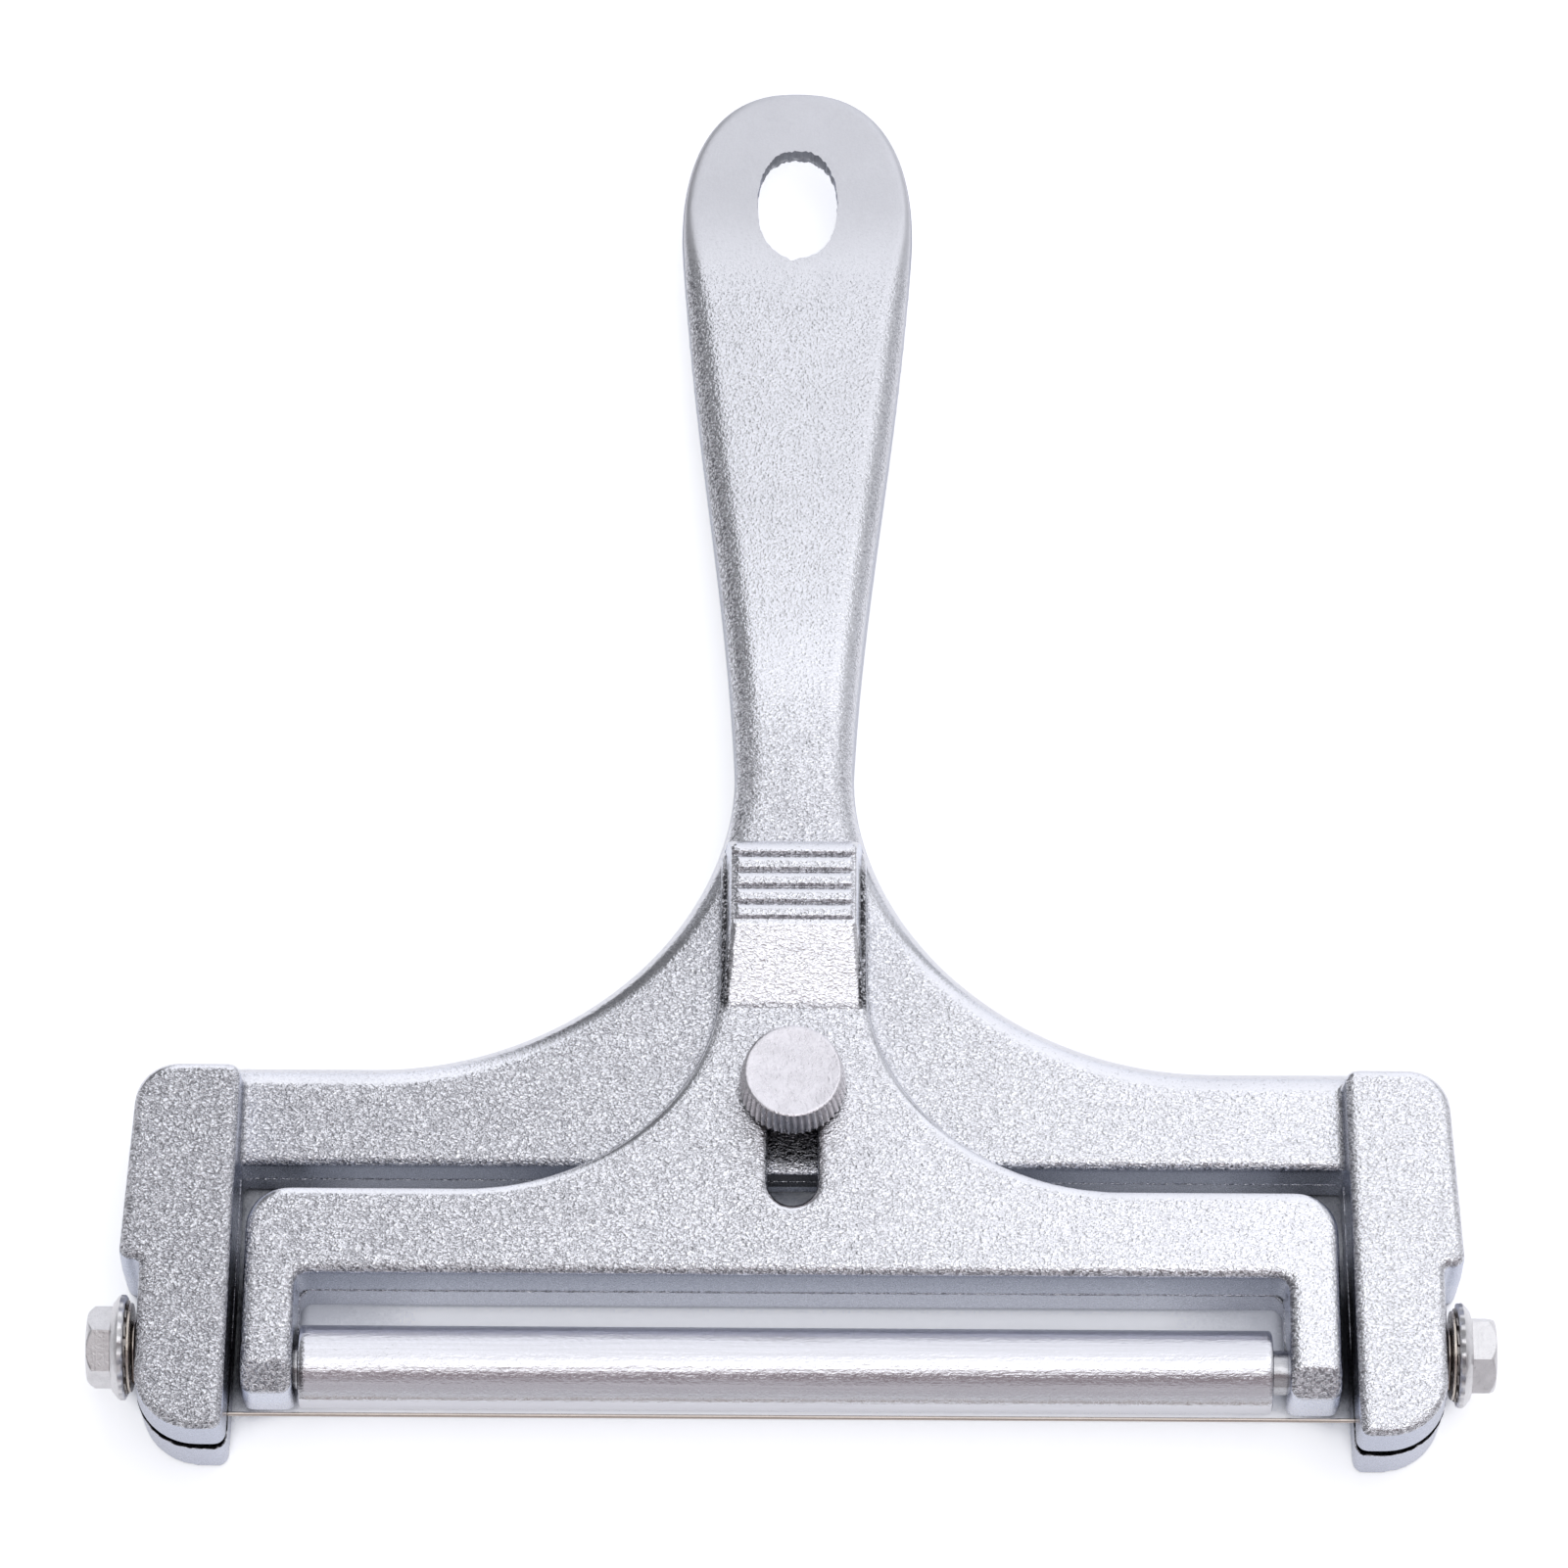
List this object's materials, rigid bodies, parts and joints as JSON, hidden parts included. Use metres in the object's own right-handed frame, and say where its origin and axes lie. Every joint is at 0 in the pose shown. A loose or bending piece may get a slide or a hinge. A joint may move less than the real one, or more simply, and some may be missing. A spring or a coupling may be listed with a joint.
{
  "type": "cheese slicer",
  "caption": "Handheld wire cheese slicer: cast handle with a crossbar and arms, a tensioned wire, and a sliding guide with a roller that a knurled screw locks for slice thickness.",
  "frame": {"origin": "where the thumb screw's axis meets the back plane that the tool lies on", "axes": "+X along the wire to the right, +Y up the handle, +Z out of the face that carries the guide"},
  "size_m": [0.1574, 0.1762, 0.0169],
  "materials": {
    "frame": "die-cast, coarse silver grain",
    "guide": "die-cast, coarse silver grain",
    "screw_head": "turned, matte face and knurled rim",
    "washer": "zinc-plated steel",
    "roller": "smooth drawn tube",
    "axle": "drawn steel rod",
    "wire": "drawn stainless wire",
    "bolt": "bright zinc plating"
  },
  "bodies": {
    "frame": {"frame_casting": "frame", "cutting_wire": "wire"},
    "guide": {"guide_casting": "guide", "roller_axle": "axle"},
    "roller": {"roller_tube": "roller"},
    "screw_washer": {"thumb_washer": "washer"},
    "screw": {"thumb_screw": "screw_head"},
    "left_washers": {"left_plain_washer": "washer", "left_lock_washer": "washer"},
    "left_bolt": {"left_tension_bolt": "bolt"},
    "right_washers": {"right_plain_washer": "washer", "right_lock_washer": "washer"},
    "right_bolt": {"right_tension_bolt": "bolt"}
  },
  "joints": [
    {"name": "guide_slide", "type": "slide", "parent": "frame", "child": "guide", "axis": [0, 1, 0], "range_m": [0, 0.01]},
    {"name": "roller_spin", "type": "hinge", "parent": "guide", "child": "roller", "pos_m": [0, -0.03173, 0.00583], "axis": [1, 0, 0], "continuous": true},
    {"name": "thumb_screw_lift", "type": "slide", "parent": "frame", "child": "screw_washer", "axis": [0, 0, 1], "range_m": [0, 0.0016]},
    {"name": "thumb_screw_turn", "type": "hinge", "parent": "screw_washer", "child": "screw", "pos_m": [0, 0, 0.012], "axis": [0, 0, 1], "range_deg": [0, 720]},
    {"name": "left_bolt_lift", "type": "slide", "parent": "frame", "child": "left_washers", "axis": [-1, 0, 0], "range_m": [0, 0.0008]},
    {"name": "left_bolt_turn", "type": "hinge", "parent": "left_washers", "child": "left_bolt", "pos_m": [-0.0732, -0.02995, 0.007], "axis": [-1, 0, 0], "range_deg": [0, 360]},
    {"name": "right_bolt_lift", "type": "slide", "parent": "frame", "child": "right_washers", "axis": [1, 0, 0], "range_m": [0, 0.0008]},
    {"name": "right_bolt_turn", "type": "hinge", "parent": "right_washers", "child": "right_bolt", "pos_m": [0.0732, -0.02995, 0.007], "axis": [1, 0, 0], "range_deg": [0, 360]}
  ],
  "couplings": [
    {"joint": "thumb_screw_turn", "follows": "thumb_screw_lift", "rad_per_m": 7853.9},
    {"joint": "left_bolt_turn", "follows": "left_bolt_lift", "rad_per_m": 7853.9},
    {"joint": "right_bolt_turn", "follows": "right_bolt_lift", "rad_per_m": 7853.9}
  ]
}
